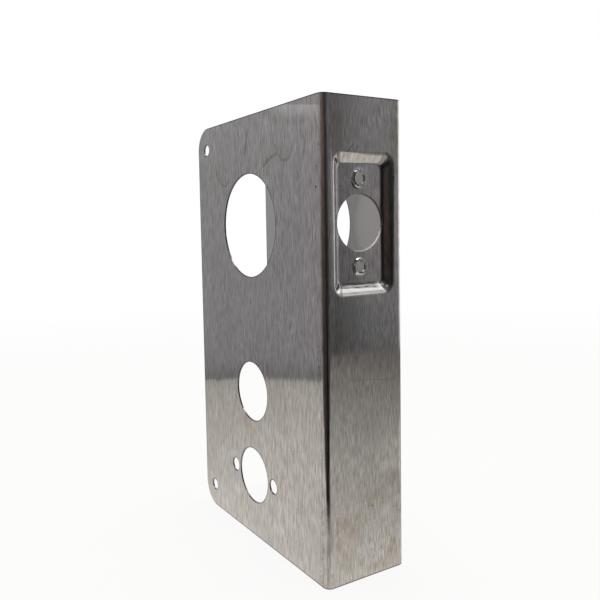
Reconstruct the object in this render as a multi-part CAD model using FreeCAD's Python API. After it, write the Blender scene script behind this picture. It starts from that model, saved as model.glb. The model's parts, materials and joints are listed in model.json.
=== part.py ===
import FreeCAD
import Part
import math
import os

# Door reinforcer plate: one sheet of stainless steel, folded round the edge of a door.
# An edge wall covers the door's edge, and a flange covers each of its two faces.
# The plate stands on one end: X runs across the door, Y from the edge wall to the free
# edges of the flanges, and Z upwards. All sizes are in millimetres.

# Sheet and folds
SHEET = 0.79
FOLD_INNER_RADIUS = 2.7

# Overall sizes
HEIGHT = 228.6
REACH = 127.0
DOOR_THICKNESS = 44.45
DOOR_PLAY = 0.8
FREE_CORNER_RADIUS = 12.7

# Round holes that pass straight through both flanges
BACKSET = 66.675
CROSS_BORE_DIAMETER = 55.0
CROSS_BORE_FROM_TOP = 57.9
MIDDLE_BORE_DIAMETER = 32.1
MIDDLE_BORE_HEIGHT = 80.7
LOW_BORE_DIAMETER = 29.8
LOW_BORE_HEIGHT = 33.9
SIDE_HOLE_DIAMETER = 7.4
SIDE_HOLE_SPACING = 40.8
CORNER_HOLE_DIAMETER = 6.35
CORNER_HOLE_FROM_END = 12.7
CORNER_HOLE_FROM_FREE_EDGE = 11.1

# Recess that is pressed into the edge wall for the front of the latch
RECESS_DEPTH = 3.3
RECESS_FLOOR_WIDTH = 26.4
RECESS_FLOOR_HEIGHT = 56.6
RECESS_FLOOR_CORNER = 3.0
RECESS_MOUTH_CORNER = 5.0
RECESS_RIM = 3.1
RECESS_END_RUN = 4.8
RECESS_DROP = 0.8
MOUTH_SIDE_BEND = 4.2
MOUTH_END_BEND = 0.8
FLOOR_SIDE_BEND = 2.6
FLOOR_END_BEND = 0.9

# Latch hole, and the two screw holes with their raised collars
LATCH_HOLE_DIAMETER = 26.4
SCREW_SPACING = 41.3
SCREW_HOLE_DIAMETER = 4.8
COLLAR_HEIGHT = 0.85
COLLAR_CREST_DIAMETER = 6.7
COLLAR_LIP = 0.15
COLLAR_SHOULDER_BEND = 0.9
COLLAR_FLANK_ANGLE = 50.0
COLLAR_FOOT_BEND = 0.35

# Sizes that follow from the ones above
WIDTH = DOOR_THICKNESS + 2 * DOOR_PLAY + 2 * SHEET
HALF_WIDTH = WIDTH / 2
FOLD_OUTER_RADIUS = FOLD_INNER_RADIUS + SHEET
EDGE_FACE = -REACH / 2
FREE_EDGE = REACH / 2
BORE_LINE = EDGE_FACE + SHEET + BACKSET
CROSS_BORE_HEIGHT = HEIGHT - CROSS_BORE_FROM_TOP
RECESS_CENTRE = CROSS_BORE_HEIGHT - RECESS_DROP
RECESS_SIDE_RUN = HALF_WIDTH - FOLD_OUTER_RADIUS - RECESS_RIM - RECESS_FLOOR_WIDTH / 2
FLOOR_FACE = EDGE_FACE + RECESS_DEPTH

X_AXIS = FreeCAD.Vector(1, 0, 0)
Y_AXIS = FreeCAD.Vector(0, 1, 0)
Z_AXIS = FreeCAD.Vector(0, 0, 1)
TOUCH = 0.001


def point(x, y, z=0.0):
    return FreeCAD.Vector(x, y, z)


def line(start, end):
    return Part.makeLine(start, end)


def arc(centre, radius, start_angle, end_angle):
    """Arc in the XY plane, from one angle to the other, in degrees."""
    middle_angle = (start_angle + end_angle) / 2
    ends = []
    for angle in (start_angle, middle_angle, end_angle):
        turn = math.radians(angle)
        ends.append(centre + point(radius * math.cos(turn), radius * math.sin(turn)))
    return Part.Arc(*ends).toShape()


def channel_section():
    """Cross-section of the folded sheet: two flanges, the edge wall and two round folds."""
    inner_half = HALF_WIDTH - SHEET
    inner_face = EDGE_FACE + SHEET
    left_fold = point(-HALF_WIDTH + FOLD_OUTER_RADIUS, EDGE_FACE + FOLD_OUTER_RADIUS)
    right_fold = point(HALF_WIDTH - FOLD_OUTER_RADIUS, EDGE_FACE + FOLD_OUTER_RADIUS)
    fold_line = left_fold.y
    edges = [
        line(point(-HALF_WIDTH, FREE_EDGE), point(-HALF_WIDTH, fold_line)),
        arc(left_fold, FOLD_OUTER_RADIUS, 180, 270),
        line(point(left_fold.x, EDGE_FACE), point(right_fold.x, EDGE_FACE)),
        arc(right_fold, FOLD_OUTER_RADIUS, 270, 360),
        line(point(HALF_WIDTH, fold_line), point(HALF_WIDTH, FREE_EDGE)),
        line(point(HALF_WIDTH, FREE_EDGE), point(inner_half, FREE_EDGE)),
        line(point(inner_half, FREE_EDGE), point(inner_half, fold_line)),
        arc(right_fold, FOLD_INNER_RADIUS, 360, 270),
        line(point(right_fold.x, inner_face), point(left_fold.x, inner_face)),
        arc(left_fold, FOLD_INNER_RADIUS, 270, 180),
        line(point(-inner_half, fold_line), point(-inner_half, FREE_EDGE)),
        line(point(-inner_half, FREE_EDGE), point(-HALF_WIDTH, FREE_EDGE)),
    ]
    return Part.Face(Part.Wire(edges))


def folded_channel():
    """The folded sheet with the free corners of both flanges rounded."""
    channel = channel_section().extrude(Z_AXIS * HEIGHT)
    corners = []
    for edge in channel.Edges:
        box = edge.BoundBox
        across_sheet = box.YLength < TOUCH and box.ZLength < TOUCH
        at_free_edge = abs(box.YMin - FREE_EDGE) < TOUCH
        if across_sheet and at_free_edge:
            corners.append(edge)
    return channel.makeFillet(FREE_CORNER_RADIUS, corners)


def recess_outline(width, height, corner, y):
    """Upright rounded rectangle in the plane at y, centred on the recess."""
    half_x = width / 2
    half_z = height / 2
    centre_x = half_x - corner
    centre_z = half_z - corner
    flat = [
        line(point(-centre_x, -half_z), point(centre_x, -half_z)),
        arc(point(centre_x, -centre_z), corner, 270, 360),
        line(point(half_x, -centre_z), point(half_x, centre_z)),
        arc(point(centre_x, centre_z), corner, 0, 90),
        line(point(centre_x, half_z), point(-centre_x, half_z)),
        arc(point(-centre_x, centre_z), corner, 90, 180),
        line(point(-half_x, centre_z), point(-half_x, -centre_z)),
        arc(point(-centre_x, -centre_z), corner, 180, 270),
    ]
    outline = Part.Wire(flat)
    outline.rotate(point(0, 0), X_AXIS, 90)
    outline.translate(point(0, y, RECESS_CENTRE))
    return outline


def recess_block(mouth_face, growth_x, growth_z):
    """Tapered block from the mouth of the recess to its floor, grown at its sides and ends."""
    floor_width = RECESS_FLOOR_WIDTH + 2 * growth_x
    floor_height = RECESS_FLOOR_HEIGHT + 2 * growth_z
    growth = (growth_x + growth_z) / 2
    mouth = recess_outline(floor_width + 2 * RECESS_SIDE_RUN, floor_height + 2 * RECESS_END_RUN,
                           RECESS_MOUTH_CORNER + growth, mouth_face)
    floor = recess_outline(floor_width, floor_height, RECESS_FLOOR_CORNER + growth,
                           mouth_face + RECESS_DEPTH)
    return Part.makeLoft([mouth, floor], True, True)


def edges_at(shape, y):
    """Edges of the recess that lie in the plane at y."""
    reach_x = RECESS_FLOOR_WIDTH / 2 + RECESS_SIDE_RUN + SHEET
    reach_z = RECESS_FLOOR_HEIGHT / 2 + RECESS_END_RUN + SHEET
    found = []
    for edge in shape.Edges:
        box = edge.BoundBox
        in_plane = abs(box.YMin - y) < TOUCH and abs(box.YMax - y) < TOUCH
        inside_x = max(abs(box.XMin), abs(box.XMax)) < reach_x
        inside_z = max(abs(box.ZMin - RECESS_CENTRE), abs(box.ZMax - RECESS_CENTRE)) < reach_z
        if in_plane and inside_x and inside_z:
            found.append(edge)
    return found


def bend_edges(shape, edges, side_radius, end_radius):
    """Round a loop of the recess: one radius at its sides, one at its ends, blended between."""
    document = FreeCAD.newDocument()
    base = document.addObject("Part::Feature", "base")
    base.Shape = shape
    rounded = document.addObject("Part::Fillet", "rounded")
    rounded.Base = base
    radii = []
    for number, edge in enumerate(shape.Edges, 1):
        if not any(edge.isSame(other) for other in edges):
            continue
        box = edge.BoundBox
        first = edge.valueAt(edge.FirstParameter)
        last = edge.valueAt(edge.LastParameter)
        leaves_side = abs(first.x) > abs(last.x)
        start, finish = side_radius, end_radius
        if box.XLength < TOUCH:
            finish = side_radius
        elif box.ZLength < TOUCH:
            start = end_radius
        elif leaves_side == (edge.Orientation == "Reversed"):
            start, finish = end_radius, side_radius
        radii.append((number, start, finish))
    rounded.Edges = radii
    document.recompute()
    result = rounded.Shape.copy()
    FreeCAD.closeDocument(document.Name)
    return result


def press_recess(plate):
    """The recess as a pressed form: its walls slope, and the sheet keeps its thickness."""
    side_slope = math.atan2(RECESS_DEPTH, RECESS_SIDE_RUN)
    end_slope = math.atan2(RECESS_DEPTH, RECESS_END_RUN)
    boss = recess_block(EDGE_FACE + SHEET, SHEET * math.tan(side_slope / 2),
                        SHEET * math.tan(end_slope / 2))
    cavity = recess_block(EDGE_FACE, 0.0, 0.0)
    pressed = plate.fuse(boss).cut(cavity)
    bends = (
        (FLOOR_FACE, FLOOR_SIDE_BEND, FLOOR_END_BEND),
        (FLOOR_FACE + SHEET, FLOOR_SIDE_BEND + SHEET, FLOOR_END_BEND + SHEET),
        (EDGE_FACE, MOUTH_SIDE_BEND + SHEET, MOUTH_END_BEND + SHEET),
        (EDGE_FACE + SHEET, MOUTH_SIDE_BEND, MOUTH_END_BEND),
    )
    for y, side_radius, end_radius in bends:
        pressed = bend_edges(pressed, edges_at(pressed, y), side_radius, end_radius)
    return pressed


def collar_section():
    """Half section of a raised screw hole: x is the radius, y the height above the floor.

    The sheet rises over a foot and a steep flank to a flat ring round the hole, and its back
    follows at the same thickness.
    """
    bore = SCREW_HOLE_DIAMETER / 2
    turn = 90 - COLLAR_FLANK_ANGLE
    flank = math.radians(COLLAR_FLANK_ANGLE)
    outward = point(math.sin(flank), math.cos(flank))
    bends = COLLAR_SHOULDER_BEND + COLLAR_FOOT_BEND
    straight_rise = COLLAR_HEIGHT - bends * (1 - math.cos(flank))
    straight_run = straight_rise / math.tan(flank)
    shoulder = point(COLLAR_CREST_DIAMETER / 2, COLLAR_HEIGHT - COLLAR_SHOULDER_BEND)
    foot = point(shoulder.x + bends * math.sin(flank) + straight_run, COLLAR_FOOT_BEND)
    back_shoulder_bend = COLLAR_SHOULDER_BEND - SHEET
    back_foot_bend = COLLAR_FOOT_BEND + SHEET
    back_crest = COLLAR_HEIGHT - SHEET
    lip = point(bore + COLLAR_LIP, COLLAR_HEIGHT - COLLAR_LIP)
    edges = [
        line(point(bore, back_crest), point(bore, lip.y)),
        arc(lip, COLLAR_LIP, 180, 90),
        line(point(lip.x, COLLAR_HEIGHT), point(shoulder.x, COLLAR_HEIGHT)),
        arc(shoulder, COLLAR_SHOULDER_BEND, 90, turn),
        line(shoulder + outward * COLLAR_SHOULDER_BEND, foot - outward * COLLAR_FOOT_BEND),
        arc(foot, COLLAR_FOOT_BEND, 180 + turn, 270),
        line(point(foot.x, 0), point(foot.x, -SHEET)),
        arc(foot, back_foot_bend, 270, 180 + turn),
        line(foot - outward * back_foot_bend, shoulder + outward * back_shoulder_bend),
        arc(shoulder, back_shoulder_bend, turn, 90),
        line(point(shoulder.x, back_crest), point(bore, back_crest)),
    ]
    return Part.Face(Part.Wire(edges)), foot.x


def raise_collar(plate, z):
    """Replace a disc of the recess floor by the raised collar of a screw hole."""
    section, foot_radius = collar_section()
    collar = section.revolve(point(0, 0), Y_AXIS, 360)
    collar.rotate(point(0, 0), X_AXIS, 180)
    collar.translate(point(0, FLOOR_FACE, z))
    disc = Part.makeCylinder(foot_radius, 2 * SHEET, point(0, FLOOR_FACE - SHEET / 2, z), Y_AXIS)
    return plate.cut(disc).fuse(collar)


def flange_hole(diameter, y, z):
    """Cylinder along X that passes through both flanges."""
    return Part.makeCylinder(diameter / 2, WIDTH + 2 * SHEET, point(-HALF_WIDTH - SHEET, y, z), X_AXIS)


def flange_holes():
    side_offset = SIDE_HOLE_SPACING / 2
    corner_line = FREE_EDGE - CORNER_HOLE_FROM_FREE_EDGE
    return [
        flange_hole(CROSS_BORE_DIAMETER, BORE_LINE, CROSS_BORE_HEIGHT),
        flange_hole(MIDDLE_BORE_DIAMETER, BORE_LINE, MIDDLE_BORE_HEIGHT),
        flange_hole(LOW_BORE_DIAMETER, BORE_LINE, LOW_BORE_HEIGHT),
        flange_hole(SIDE_HOLE_DIAMETER, BORE_LINE - side_offset, LOW_BORE_HEIGHT),
        flange_hole(SIDE_HOLE_DIAMETER, BORE_LINE + side_offset, LOW_BORE_HEIGHT),
        flange_hole(CORNER_HOLE_DIAMETER, corner_line, CORNER_HOLE_FROM_END),
        flange_hole(CORNER_HOLE_DIAMETER, corner_line, HEIGHT - CORNER_HOLE_FROM_END),
    ]


def latch_hole():
    """Cylinder along Y that passes through the floor of the recess."""
    length = RECESS_DEPTH + 3 * SHEET
    return Part.makeCylinder(LATCH_HOLE_DIAMETER / 2, length,
                             point(0, EDGE_FACE - SHEET, CROSS_BORE_HEIGHT), Y_AXIS)


def wrap_plate():
    plate = press_recess(folded_channel())
    for side in (-1, 1):
        plate = raise_collar(plate, CROSS_BORE_HEIGHT + side * SCREW_SPACING / 2)
    plate = plate.cut(latch_hole())
    for hole in flange_holes():
        plate = plate.cut(hole)
    return plate.removeSplitter()


os.makedirs("parts", exist_ok=True)
plate = wrap_plate()
solid = plate.Solids[0]
solid.exportStep("parts/wrap_plate.step")
box = solid.BoundBox
print("solids", len(plate.Solids), "valid", solid.isValid(), "faces", len(solid.Faces))
print("size", round(box.XLength, 3), round(box.YLength, 3), round(box.ZLength, 3))
print("volume", round(solid.Volume, 1), "weight in grams", round(solid.Volume * 0.00793, 1))
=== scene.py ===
import json
import math
from types import SimpleNamespace

import bmesh
import bpy
import numpy as np
from bpy.props import FloatProperty, FloatVectorProperty, PointerProperty
from mathutils import Matrix, Vector


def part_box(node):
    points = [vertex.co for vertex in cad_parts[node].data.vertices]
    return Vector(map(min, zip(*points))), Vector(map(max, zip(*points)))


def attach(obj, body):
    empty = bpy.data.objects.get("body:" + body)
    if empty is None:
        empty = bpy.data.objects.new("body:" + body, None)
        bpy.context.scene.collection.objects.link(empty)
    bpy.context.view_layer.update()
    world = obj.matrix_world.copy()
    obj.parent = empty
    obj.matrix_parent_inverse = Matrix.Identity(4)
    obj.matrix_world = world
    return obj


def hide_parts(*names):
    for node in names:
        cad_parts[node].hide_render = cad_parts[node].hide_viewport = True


bl_info = {
    "name": "Door Reinforcer Plate",
    "version": (1, 0, 0),
    "blender": (4, 5, 0),
    "location": "View3D > Sidebar > Door Plate",
    "description": "Dresses a folded door reinforcer plate in brushed stainless steel",
    "category": "Object",
}

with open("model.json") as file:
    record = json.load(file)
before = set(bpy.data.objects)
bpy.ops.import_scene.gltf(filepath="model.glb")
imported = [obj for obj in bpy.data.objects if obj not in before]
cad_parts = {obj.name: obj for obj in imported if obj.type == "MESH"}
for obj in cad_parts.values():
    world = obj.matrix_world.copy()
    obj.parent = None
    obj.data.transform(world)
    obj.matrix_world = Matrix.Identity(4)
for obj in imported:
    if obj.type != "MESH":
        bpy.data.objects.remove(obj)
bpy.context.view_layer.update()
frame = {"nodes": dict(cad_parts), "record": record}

PLATE_LOW, PLATE_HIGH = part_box("wrap_plate")
LEFT_FACE = PLATE_LOW.x
EDGE_FACE = PLATE_LOW.y


# Small helpers for shader nodes

class NodeBuilder:
    """Adds nodes to one tree and links them, so that a material reads from top to bottom."""

    def __init__(self, tree):
        self.tree = tree

    def add(self, kind, **settings):
        node = self.tree.nodes.new(kind)
        for name, value in settings.items():
            setattr(node, name, value)
        return node

    def feed(self, socket, value):
        if isinstance(value, bpy.types.NodeSocket):
            self.tree.links.new(value, socket)
        elif value is not None:
            socket.default_value = value

    def math(self, operation, first, second=None, third=None):
        node = self.add("ShaderNodeMath", operation=operation)
        for socket, value in zip(node.inputs, (first, second, third)):
            self.feed(socket, value)
        return node.outputs[0]

    def vector(self, operation, first, second=None):
        node = self.add("ShaderNodeVectorMath", operation=operation)
        self.feed(node.inputs[0], first)
        self.feed(node.inputs[1], second)
        output = "Value" if operation in ("DOT_PRODUCT", "LENGTH", "DISTANCE") else "Vector"
        return node.outputs[output]

    def split(self, vector):
        node = self.add("ShaderNodeSeparateXYZ")
        self.feed(node.inputs[0], vector)
        return node.outputs

    def join(self, x, y, z):
        node = self.add("ShaderNodeCombineXYZ")
        for socket, value in zip(node.inputs, (x, y, z)):
            self.feed(socket, value)
        return node.outputs[0]

    def ramp(self, value, low, high, to_low=0.0, to_high=1.0):
        node = self.add("ShaderNodeMapRange", clamp=False, interpolation_type="SMOOTHSTEP")
        for name, item in (("Value", value), ("From Min", low), ("From Max", high),
                           ("To Min", to_low), ("To Max", to_high)):
            self.feed(node.inputs[name], item)
        return node.outputs["Result"]

    def noise(self, vector, scale, detail, roughness):
        node = self.add("ShaderNodeTexNoise")
        for name, item in (("Vector", vector), ("Scale", scale), ("Detail", detail),
                           ("Roughness", roughness)):
            self.feed(node.inputs[name], item)
        return node.outputs[0]

    def mix(self, factor, first, second, blend="MIX"):
        node = self.add("ShaderNodeMix", data_type="RGBA", blend_type=blend)
        self.feed(node.inputs[0], factor)
        self.feed(node.inputs[6], first)
        self.feed(node.inputs[7], second)
        return node.outputs[2]


def new_group(name, inputs, outputs):
    """A shader node group with the named sockets; gives its builder, inputs and output node."""
    group = bpy.data.node_groups.new(name, "ShaderNodeTree")
    for socket_name, kind, value in inputs:
        socket = group.interface.new_socket(socket_name, in_out="INPUT", socket_type=kind)
        if value is not None:
            socket.default_value = value
    for socket_name, kind in outputs:
        group.interface.new_socket(socket_name, in_out="OUTPUT", socket_type=kind)
    build = NodeBuilder(group)
    entry = build.add("NodeGroupInput")
    leave = build.add("NodeGroupOutput")
    return build, entry.outputs, leave.inputs


def place_group(build, name, values):
    node = build.add("ShaderNodeGroup")
    node.node_tree = bpy.data.node_groups[name]
    for socket_name, value in values.items():
        build.feed(node.inputs[socket_name], value)
    return node.outputs


# Shader node groups for the steel

def make_grain_group():
    """Fine lines that run along the height, as a belt leaves them."""
    build, given, result = new_group("brushed_grain", [
        ("Vector", "NodeSocketVector", None),
        ("Line Width", "NodeSocketFloat", 0.0005),
        ("Line Length", "NodeSocketFloat", 0.02),
        ("Detail", "NodeSocketFloat", 2.0),
        ("Shift", "NodeSocketFloat", 0.0),
    ], [("Value", "NodeSocketFloat")])
    across = build.math("DIVIDE", 1.0, given["Line Width"])
    along = build.math("DIVIDE", 1.0, given["Line Length"])
    stretched = build.vector("MULTIPLY", given["Vector"], build.join(across, across, along))
    moved = build.vector("ADD", stretched, build.join(given["Shift"], given["Shift"], given["Shift"]))
    build.feed(result["Value"], build.noise(moved, 1.0, given["Detail"], 0.55))


def make_spot_group():
    """An oval patch with a soft, ragged edge: 1 inside and 0 outside."""
    build, given, result = new_group("soft_spot", [
        ("Vector", "NodeSocketVector", None),
        ("Centre", "NodeSocketVector", None),
        ("Size", "NodeSocketVector", (0.005, 0.005, 0.005)),
        ("Softness", "NodeSocketFloat", 0.3),
        ("Ragged", "NodeSocketFloat", 0.5),
        ("Scale", "NodeSocketFloat", 300.0),
    ], [("Value", "NodeSocketFloat")])
    away = build.vector("DIVIDE", build.vector("SUBTRACT", given["Vector"], given["Centre"]),
                        given["Size"])
    unrest = build.math("SUBTRACT", build.noise(given["Vector"], given["Scale"], 3.0, 0.6), 0.5)
    reach = build.math("MULTIPLY_ADD", unrest, given["Ragged"], build.vector("LENGTH", away))
    inner = build.math("SUBTRACT", 1.0, given["Softness"])
    build.feed(result["Value"], build.ramp(reach, inner, 1.0, 1.0, 0.0))


def make_line_group():
    """A thin line from one point to another: 1 on the line and 0 beside it."""
    build, given, result = new_group("thin_line", [
        ("Vector", "NodeSocketVector", None),
        ("Start", "NodeSocketVector", None),
        ("End", "NodeSocketVector", None),
        ("Width", "NodeSocketFloat", 0.0005),
        ("End Fade", "NodeSocketFloat", 0.0),
    ], [("Value", "NodeSocketFloat")])
    run = build.vector("SUBTRACT", given["End"], given["Start"])
    reached = build.vector("SUBTRACT", given["Vector"], given["Start"])
    share = build.math("DIVIDE", build.vector("DOT_PRODUCT", reached, run),
                       build.vector("DOT_PRODUCT", run, run))
    share = build.math("MINIMUM", build.math("MAXIMUM", share, 0.0), 1.0)
    foot = build.vector("MULTIPLY", run, build.join(share, share, share))
    beside = build.vector("DISTANCE", reached, foot)
    body = build.ramp(beside, build.math("MULTIPLY", given["Width"], 0.3), given["Width"], 1.0, 0.0)
    middle = build.math("ABSOLUTE", build.math("SUBTRACT", share, 0.5))
    ends = build.ramp(middle, 0.2, 0.5, 1.0, build.math("SUBTRACT", 1.0, given["End Fade"]))
    build.feed(result["Value"], build.math("MULTIPLY", body, ends))


def make_ring_group():
    """A round line about a centre across one face of the sheet, or an arc on one side of it."""
    build, given, result = new_group("round_line", [
        ("Vector", "NodeSocketVector", None),
        ("Centre", "NodeSocketVector", None),
        ("Face", "NodeSocketVector", (0.0, 1.0, 1.0)),
        ("Radius", "NodeSocketFloat", 0.01),
        ("Width", "NodeSocketFloat", 0.0005),
        ("Side", "NodeSocketVector", (0.0, 0.0, 1.0)),
        ("Span", "NodeSocketFloat", -1.5),
    ], [("Value", "NodeSocketFloat")])
    away = build.vector("MULTIPLY", build.vector("SUBTRACT", given["Vector"], given["Centre"]),
                        given["Face"])
    beside = build.math("ABSOLUTE", build.math("SUBTRACT", build.vector("LENGTH", away),
                                               given["Radius"]))
    body = build.ramp(beside, build.math("MULTIPLY", given["Width"], 0.4), given["Width"], 1.0, 0.0)
    toward = build.vector("DOT_PRODUCT", build.vector("NORMALIZE", away), given["Side"])
    arc = build.ramp(toward, build.math("SUBTRACT", given["Span"], 0.12),
                     build.math("ADD", given["Span"], 0.12), 0.0, 1.0)
    build.feed(result["Value"], build.math("MULTIPLY", body, arc))


GROUP_MAKERS = (make_grain_group, make_spot_group, make_line_group, make_ring_group)

# Marks of wear and handling, in millimetres. On a flange the two numbers of a place are the
# depth into the door and the height, and on the edge wall the side step and the height.

# Stains: face, place, half sizes, strength, raggedness, softness
STAINS = (
    ("edge", (-14.0, 29.0), (8.5, 8.0), 0.22, 1.5, 0.9),
    ("edge", (-9.0, 24.0), (7.0, 11.0), 0.18, 1.6, 0.9),
    ("edge", (-16.5, 20.0), (3.5, 6.0), 0.24, 1.4, 0.9),
    ("edge", (-17.8, 29.0), (1.0, 7.0), 0.34, 1.0, 0.7),
    ("edge", (-14.5, 14.0), (1.2, 6.0), 0.24, 1.0, 0.7),
    ("edge", (5.0, 38.0), (12.0, 6.5), 0.18, 1.6, 0.9),
    ("edge", (15.0, 45.0), (7.5, 7.0), 0.22, 1.5, 0.9),
    ("edge", (15.0, 10.5), (5.5, 8.0), 0.28, 1.4, 0.9),
    ("edge", (9.0, 4.5), (13.0, 4.5), 0.20, 1.5, 0.9),
    ("edge", (-17.7, 47.0), (1.5, 3.2), 0.26, 1.0, 0.7),
    ("edge", (-15.6, 213.0), (4.4, 17.0), 0.14, 0.5, 0.4),
    ("edge", (18.9, 213.0), (3.5, 22.0), 0.22, 0.5, 0.4),
    ("edge", (-14.5, 206.0), (2.6, 2.6), 0.18, 1.2, 0.8),
    ("edge", (-16.0, 120.0), (3.5, 18.0), 0.12, 1.0, 0.8),
    ("flange", (39.0, 202.0), (6.0, 7.0), 0.14, 1.4, 0.9),
    ("flange", (-16.0, 203.0), (6.5, 3.4), 0.15, 1.4, 0.9),
    ("flange", (-32.0, 206.0), (6.5, 6.0), 0.10, 0.8, 0.9),
    ("flange", (31.0, 197.0), (6.0, 5.0), 0.12, 1.2, 0.9),
    ("flange", (4.4, 214.0), (2.2, 8.0), 0.13, 0.9, 0.9),
    ("flange", (10.0, 62.0), (16.0, 7.0), 0.10, 1.8, 0.9),
    ("flange", (-20.0, 40.0), (20.0, 9.0), 0.08, 1.8, 0.9),
    ("flange", (-46.0, 30.0), (10.0, 12.0), 0.08, 1.8, 0.9),
)

# Run marks and scratches: face, strength, half width, end fade, places along the line
LINES = (
    ("flange", 0.24, 1.0, 0.8, ((2.6, 220.6), (3.6, 217.5), (6.9, 209.0))),
    ("flange", 0.20, 0.9, 0.0, ((-25.6, 209.5), (-26.8, 205.5), (-30.5, 202.2), (-34.5, 201.4),
                                (-37.8, 203.2), (-40.0, 207.5))),
    ("flange", 0.18, 1.0, 0.5, ((-26.4, 205.8), (-19.7, 204.1), (-12.6, 200.8))),
    ("flange", 0.17, 0.9, 0.2, ((36.5, 197.5), (33.5, 194.2), (29.0, 193.2), (25.5, 196.0))),
    ("flange", 0.15, 0.8, 0.6, ((-47.0, 214.0), (-50.5, 209.0), (-49.5, 203.0))),
    ("edge", 0.34, 0.30, 0.6, ((-6.1, 206.5), (-8.6, 203.6), (-11.9, 199.6))),
    ("edge", 0.20, 0.25, 0.6, ((-2.5, 206.0), (-6.0, 202.0), (-8.6, 198.9))),
    ("edge", 0.12, 0.30, 0.8, ((-9.3, 97.3), (4.0, 96.2), (18.3, 94.5))),
    ("edge", 0.10, 0.25, 0.8, ((-4.0, 70.0), (8.0, 76.0))),
    ("flange", 0.08, 0.30, 0.9, ((-50.0, 62.0), (-18.0, 54.0))),
    ("flange", 0.08, 0.30, 0.9, ((-12.0, 70.0), (22.0, 61.0))),
    ("flange", 0.08, 0.30, 0.9, ((-48.0, 28.0), (-26.0, 33.0))),
    ("flange", 0.07, 0.30, 0.9, ((-52.0, 95.0), (-30.0, 78.0))),
    ("flange", 0.06, 0.30, 0.9, ((44.0, 150.0), (38.0, 110.0))),
)

# Specks: face, place, radius, strength, negative where the speck is bright
SPECKS = (
    ("flange", (-61.4, 205.9), 0.45, 0.55), ("flange", (-59.2, 196.4), 0.45, 0.60),
    ("flange", (-58.7, 187.2), 0.55, 0.70), ("flange", (-58.0, 185.6), 0.35, 0.50),
    ("flange", (-1.7, 210.1), 0.35, 0.40), ("flange", (-47.6, 210.8), 0.30, 0.40),
    ("flange", (-35.2, 170.9), 0.30, 0.40), ("flange", (-55.0, 160.0), 0.30, 0.35),
    ("flange", (-20.0, 120.0), 0.30, 0.30), ("flange", (12.0, 128.0), 0.30, 0.30),
    ("flange", (-44.0, 90.0), 0.30, 0.30), ("flange", (-60.2, 108.0), 0.40, 0.40),
    ("edge", (20.0, 226.3), 0.35, -0.60), ("edge", (20.2, 221.3), 0.40, -0.70),
    ("edge", (18.4, 192.1), 0.45, 0.60), ("edge", (3.0, 34.9), 0.50, 0.40),
    ("edge", (4.4, 34.2), 0.40, 0.35), ("edge", (8.1, 32.0), 0.35, 0.30),
    ("edge", (10.2, 34.6), 0.45, 0.35), ("edge", (9.6, 36.8), 0.35, 0.30),
    ("edge", (12.4, 38.5), 0.30, 0.25), ("edge", (-4.0, 12.0), 0.40, 0.30),
    ("edge", (-17.6, 26.5), 0.45, 0.35), ("edge", (-11.0, 44.0), 0.35, 0.25),
    ("edge", (6.0, 60.0), 0.35, 0.25), ("edge", (-13.0, 118.0), 0.30, 0.25),
)


# Painted highlight and shade in bands along the recess: side steps where each starts, is full, ends and is
# gone, and how much lighter it is
PAINTED_SIDE_LIGHT_AND_SHADE = (
    (-20.2, -17.8, -17.3, -17.0, 0.70), (-17.0, -16.0, -14.6, -14.0, -0.55),
    (-14.2, -13.9, -13.5, -13.2, -0.30), (-13.1, -12.7, -12.4, -12.0, 0.75),
    (16.7, 17.1, 18.0, 18.7, -0.55),
)

# Painted highlights and shade as arcs round the holes of the recess: height of the centre, radius,
# half width, direction in degrees from +X towards +Z, half span in degrees, strength, negative where
# bright
ARCS = (
    (191.35, 3.45, 0.60, 200, 60, 0.97), (191.35, 4.95, 0.50, 226, 32, 0.95),
    (191.35, 4.20, 0.35, 222, 30, -0.35), (191.35, 2.90, 0.45, 205, 60, -0.45),
    (191.35, 2.85, 0.45, 126, 16, -0.85), (191.35, 4.70, 0.55, 155, 9, -0.50),
    (191.35, 5.00, 0.55, 105, 40, -0.30), (191.35, 3.60, 0.35, 70, 70, 0.50),
    (191.35, 4.60, 0.45, 330, 55, -0.22), (191.35, 2.45, 0.40, 66, 13, -0.80),
    (191.35, 2.45, 0.45, 300, 15, -0.90), (191.35, 2.85, 0.35, 290, 50, 0.45),
    (150.05, 3.85, 0.60, 182, 24, 0.97), (150.05, 2.90, 0.40, 262, 40, 0.90),
    (150.05, 3.60, 0.60, 250, 34, -0.80), (150.05, 3.10, 0.40, 5, 46, 0.80),
    (150.05, 3.00, 0.40, 190, 50, -0.40), (150.05, 2.75, 0.40, 122, 14, -0.75),
    (150.05, 3.60, 0.55, 158, 10, -0.55), (150.05, 3.80, 0.40, 318, 44, -0.45),
    (150.05, 2.45, 0.45, 306, 15, -1.00), (150.05, 2.45, 0.40, 40, 12, -0.65),
    (150.05, 3.10, 0.35, 75, 40, 0.45),
    (170.70, 13.30, 0.45, 300, 48, -0.80), (170.70, 13.40, 0.45, 45, 50, 0.85),
    (170.70, 13.35, 0.40, 235, 30, 0.35), (170.70, 13.30, 0.35, 110, 30, -0.25),
)


# How much wider and darker the marks are drawn than their tables say
LINE_SPREAD = 1 / 770
LINE_DEPTH = 1.25
SPECK_SPREAD = 1 / 850
SPECK_DEPTH = 1.3
SPECK_RAGGED_SCALE = 2500.0
STAIN_DEPTH = 1.2
MARK_DEPTH = 0.0012

# Painted warm glints in the lower right corner of the recess: side step and height, radius, strength
GLINTS = (((11.0, 141.8), 0.7, 0.8), ((12.9, 141.2), 0.8, 0.7), ((14.6, 140.2), 0.8, 0.5))
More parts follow.
